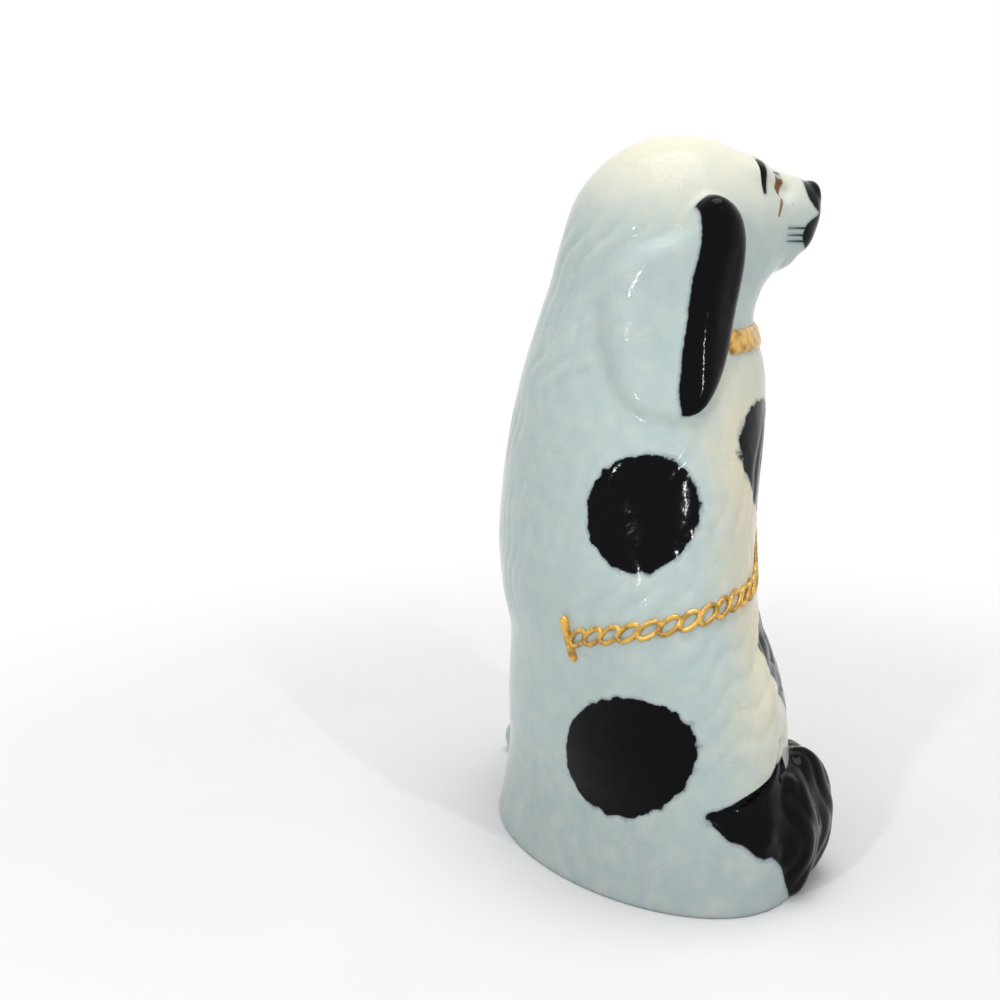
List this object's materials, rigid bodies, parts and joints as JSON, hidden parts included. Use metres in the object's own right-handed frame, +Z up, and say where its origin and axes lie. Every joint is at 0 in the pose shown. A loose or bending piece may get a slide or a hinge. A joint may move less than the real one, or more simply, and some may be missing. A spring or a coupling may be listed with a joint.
{
  "type": "seated mantel spaniel figure",
  "caption": "Seated mantel spaniel in hollow glazed earthenware, head turned to the display side, with hanging ears, tail and a gilt collar, padlock and chain.",
  "frame": {"origin": "middle of the footprint of the whole figure, on the surface that it stands on", "axes": "+Z up, -Y the display side that the face looks to, +X the chest end and -X the spine end"},
  "size_m": [0.2105, 0.1479, 0.305],
  "materials": {
    "body_glaze": "gloss",
    "foot_clay": "matt",
    "black_enamel": "gloss",
    "ear_glaze": "gloss",
    "gilding": "gloss"
  },
  "bodies": {
    "root": {"display_half": "body_glaze", "back_half": "body_glaze", "base_slab": "foot_clay", "right_foreleg": "body_glaze", "left_foreleg": "body_glaze", "tail": "black_enamel", "right_ear": "ear_glaze", "left_ear": "ear_glaze", "collar": "gilding", "padlock": "gilding", "chain_links": "gilding", "chain_bar": "gilding"}
  },
  "joints": []
}
